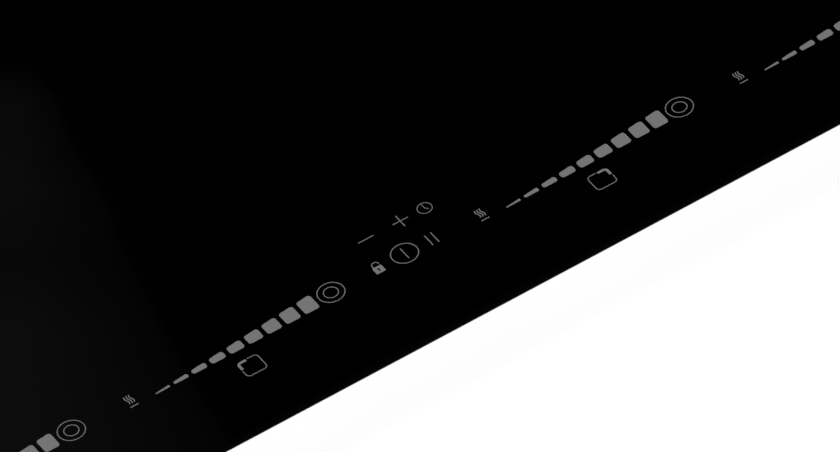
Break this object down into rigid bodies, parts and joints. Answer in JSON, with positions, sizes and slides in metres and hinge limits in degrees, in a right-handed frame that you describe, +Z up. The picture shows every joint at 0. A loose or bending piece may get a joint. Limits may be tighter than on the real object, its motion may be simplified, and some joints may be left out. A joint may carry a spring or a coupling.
{
  "type": "induction cooktop",
  "caption": "Flat black glass built-in induction hob with printed touch sliders, drop-in steel tray, sprung coils, cooling blower and swivelling worktop clamps.",
  "frame": {"origin": "centre of the underside of the tray, midway between the glass plate's side, front and back edges", "axes": "+X to the right for someone standing at the controls, +Y to the back, +Z up out of the cooking surface"},
  "size_m": [0.59, 0.52, 0.0541],
  "materials": {
    "glass_ceramic": "polished black glass-ceramic, mirror gloss",
    "print_enamel": "fired grey enamel, satin",
    "seal_foam": "closed-cell foam, matte",
    "silicone_black": "cured silicone bead",
    "galvanised_steel": "galvanised sheet with fine spangle",
    "aluminium_sheet": "mill finish sheet",
    "former_plastic": "glass-filled polyamide",
    "litz_aluminium": "enamelled litz",
    "ferrite": "sintered ferrite",
    "spring_steel": "bright strip",
    "silicone_red": "silicone cap",
    "mica": "pressed mica fleece",
    "carrier_plastic": "moulded, fine texture",
    "circuit_board": "solder resist",
    "aluminium_extruded": "extruded",
    "component_black": "moulded",
    "capacitor_case": "potted case",
    "choke_copper": "enamelled copper",
    "capacitor_yellow": "film capacitor",
    "motor_steel": "plated cup",
    "holder_plastic": "natural moulding",
    "contact_foam": "conductive foam",
    "light_guide": "diffusing acrylic",
    "ribbon_grey": "ribbon insulation",
    "brass": "machined",
    "bush_rubber": "moulded",
    "zinc_steel": "zinc plated"
  },
  "bodies": {
    "housing": {"glass_plate": "glass_ceramic", "control_print": "print_enamel", "worktop_gasket": "seal_foam", "glass_adhesive": "silicone_black", "bottom_tray": "galvanised_steel", "glass_frame": "galvanised_steel", "coil_support_plate": "aluminium_sheet", "coil_springs_front_left": "spring_steel", "coil_springs_rear_left": "spring_steel", "coil_springs_rear_right": "spring_steel", "coil_springs_front_right": "spring_steel", "insulation_mats": "mica", "electronics_carrier": "carrier_plastic", "air_duct": "carrier_plastic", "fan_housing": "carrier_plastic", "power_board_left": "circuit_board", "power_board_right": "circuit_board", "filter_board": "circuit_board", "touch_board": "circuit_board", "heat_sink_left": "aluminium_extruded", "heat_sink_right": "aluminium_extruded", "power_semiconductors": "component_black", "terminal_box": "component_black", "resonance_capacitors": "capacitor_case", "filter_chokes": "choke_copper", "filter_capacitors": "capacitor_yellow", "fan_motor": "motor_steel", "touch_board_holder": "holder_plastic", "cable_clamp": "holder_plastic", "terminal_block": "holder_plastic", "sensor_contacts": "contact_foam", "light_guides": "light_guide", "ribbon_cable": "ribbon_grey", "terminal_screws": "brass", "earth_tag": "brass", "cable_bush": "bush_rubber", "clamp_screws": "zinc_steel", "tray_screws": "zinc_steel"},
    "fan_rotor": {"fan_rotor": "carrier_plastic"},
    "terminal_cover": {"terminal_cover": "component_black"},
    "coil_front_left": {"coil_carrier_front_left": "former_plastic", "coil_winding_front_left": "litz_aluminium", "ferrite_bars_front_left": "ferrite", "coil_sensor_front_left": "silicone_red"},
    "coil_rear_left": {"coil_carrier_rear_left": "former_plastic", "coil_winding_rear_left": "litz_aluminium", "ferrite_bars_rear_left": "ferrite", "coil_sensor_rear_left": "silicone_red"},
    "coil_rear_right": {"coil_carrier_rear_right": "former_plastic", "coil_winding_rear_right": "litz_aluminium", "ferrite_bars_rear_right": "ferrite", "coil_sensor_rear_right": "silicone_red"},
    "coil_front_right": {"coil_carrier_front_right": "former_plastic", "coil_winding_front_right": "litz_aluminium", "ferrite_bars_front_right": "ferrite", "coil_sensor_front_right": "silicone_red"},
    "clamp_front_left": {"clamp_bracket_front_left": "zinc_steel"},
    "clamp_front_right": {"clamp_bracket_front_right": "zinc_steel"},
    "clamp_rear_left": {"clamp_bracket_rear_left": "zinc_steel"},
    "clamp_rear_right": {"clamp_bracket_rear_right": "zinc_steel"}
  },
  "joints": [
    {"name": "fan_spin", "type": "hinge", "parent": "housing", "child": "fan_rotor", "pos_m": [-0.05, 0.166, 0.012], "axis": [0, 0, 1], "continuous": true},
    {"name": "terminal_cover_hinge", "type": "hinge", "parent": "housing", "child": "terminal_cover", "pos_m": [0.18, 0.176, 0.0044], "axis": [-1, 0, 0], "range_deg": [0, 100]},
    {"name": "clamp_swing_front_left", "type": "hinge", "parent": "housing", "child": "clamp_front_left", "pos_m": [-0.256, -0.17, 0.005], "axis": [0, 0, 1], "range_deg": [0, 90]},
    {"name": "clamp_swing_front_right", "type": "hinge", "parent": "housing", "child": "clamp_front_right", "pos_m": [0.256, -0.17, 0.005], "axis": [0, 0, -1], "range_deg": [0, 90]},
    {"name": "clamp_swing_rear_left", "type": "hinge", "parent": "housing", "child": "clamp_rear_left", "pos_m": [-0.256, 0.2, 0.005], "axis": [0, 0, -1], "range_deg": [0, 90]},
    {"name": "clamp_swing_rear_right", "type": "hinge", "parent": "housing", "child": "clamp_rear_right", "pos_m": [0.256, 0.2, 0.005], "axis": [0, 0, 1], "range_deg": [0, 90]},
    {"name": "coil_float_front_left", "type": "slide", "parent": "housing", "child": "coil_front_left", "axis": [0, 0, 1], "range_m": [-0.003, 0], "stiffness_N_per_m": 2500, "springref_m": 0.006, "deforming": ["coil_springs_front_left"]},
    {"name": "coil_float_rear_left", "type": "slide", "parent": "housing", "child": "coil_rear_left", "axis": [0, 0, 1], "range_m": [-0.003, 0], "stiffness_N_per_m": 2500, "springref_m": 0.006, "deforming": ["coil_springs_rear_left"]},
    {"name": "coil_float_rear_right", "type": "slide", "parent": "housing", "child": "coil_rear_right", "axis": [0, 0, 1], "range_m": [-0.003, 0], "stiffness_N_per_m": 2500, "springref_m": 0.006, "deforming": ["coil_springs_rear_right"]},
    {"name": "coil_float_front_right", "type": "slide", "parent": "housing", "child": "coil_front_right", "axis": [0, 0, 1], "range_m": [-0.003, 0], "stiffness_N_per_m": 2500, "springref_m": 0.006, "deforming": ["coil_springs_front_right"]}
  ]
}
